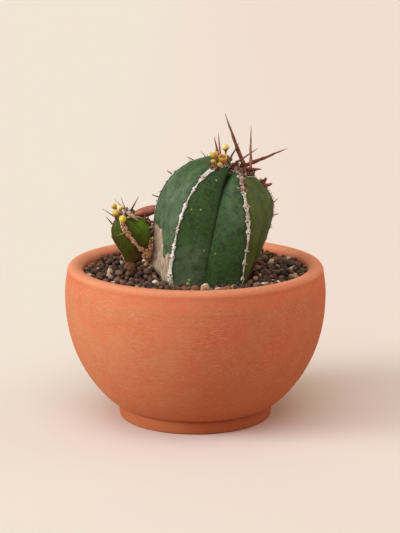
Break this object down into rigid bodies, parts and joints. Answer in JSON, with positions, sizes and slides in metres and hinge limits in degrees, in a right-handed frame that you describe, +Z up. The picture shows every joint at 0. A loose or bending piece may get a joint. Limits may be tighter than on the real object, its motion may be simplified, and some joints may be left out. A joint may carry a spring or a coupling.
{
  "type": "potted euphorbia",
  "caption": "Small ribbed succulent with a young offset, crown spines and tiny yellow flowers, rooted in gritty soil in a shallow terracotta bowl.",
  "frame": {"origin": "middle of the foot ring's underside, on the surface that the bowl stands on", "axes": "+Z up, -Y the plant's front, +X the side that the stem leans towards"},
  "size_m": [0.15, 0.15, 0.1754],
  "materials": {
    "terracotta": "matt unglazed clay",
    "soil": "damp and crumbly",
    "grit": "dull rounded stone",
    "stem_green": "waxy skin with a pale bloom",
    "offset_green": "waxy young skin",
    "dry_bark": "dry corky bark",
    "spine_brown": "dry and slightly satin",
    "cyathium_yellow": "soft and waxy"
  },
  "bodies": {
    "root": {"crown_spine_back_left": "spine_brown", "crown_spine_back_right": "spine_brown", "crown_spine_crossing": "spine_brown", "crown_spine_dark": "spine_brown", "crown_spine_faint": "spine_brown", "crown_spine_long_right": "spine_brown", "crown_spine_short": "spine_brown", "crown_spine_slender": "spine_brown", "crown_spine_tall": "spine_brown", "crown_spine_upright": "spine_brown", "crown_spine_wedge": "spine_brown", "dried_side_shoot": "dry_bark", "flower_bud_small_left": "cyathium_yellow", "flower_bud_small_right": "cyathium_yellow", "flower_bud_tall": "cyathium_yellow", "left_spine_lower": "spine_brown", "left_spine_middle": "spine_brown", "left_spine_upper": "spine_brown", "main_stem": "stem_green", "offset_bud_front": "cyathium_yellow", "offset_bud_middle": "cyathium_yellow", "offset_bud_upper_left": "cyathium_yellow", "offset_bud_upper_right": "cyathium_yellow", "offset_knot": "dry_bark", "offset_neck": "dry_bark", "offset_spine_back": "spine_brown", "offset_spine_back_left": "spine_brown", "offset_spine_dark": "spine_brown", "offset_spine_front": "spine_brown", "offset_spine_left": "spine_brown", "offset_spine_low_left": "spine_brown", "offset_spine_right": "spine_brown", "offset_stem": "offset_green", "open_flower_front": "cyathium_yellow", "open_flower_left": "cyathium_yellow", "potting_soil": "soil", "right_spine_lower": "spine_brown", "right_spine_upper": "spine_brown", "right_stub_lower": "spine_brown", "right_stub_upper": "spine_brown", "stone_01": "grit", "stone_02": "grit", "stone_03": "grit", "stone_04": "grit", "stone_05": "grit", "stone_06": "grit", "stone_07": "grit", "stone_08": "grit", "stone_09": "grit", "stone_10": "grit", "stone_11": "grit", "stone_12": "grit", "stone_13": "grit", "stone_14": "grit", "terracotta_bowl": "terracotta"}
  },
  "joints": []
}
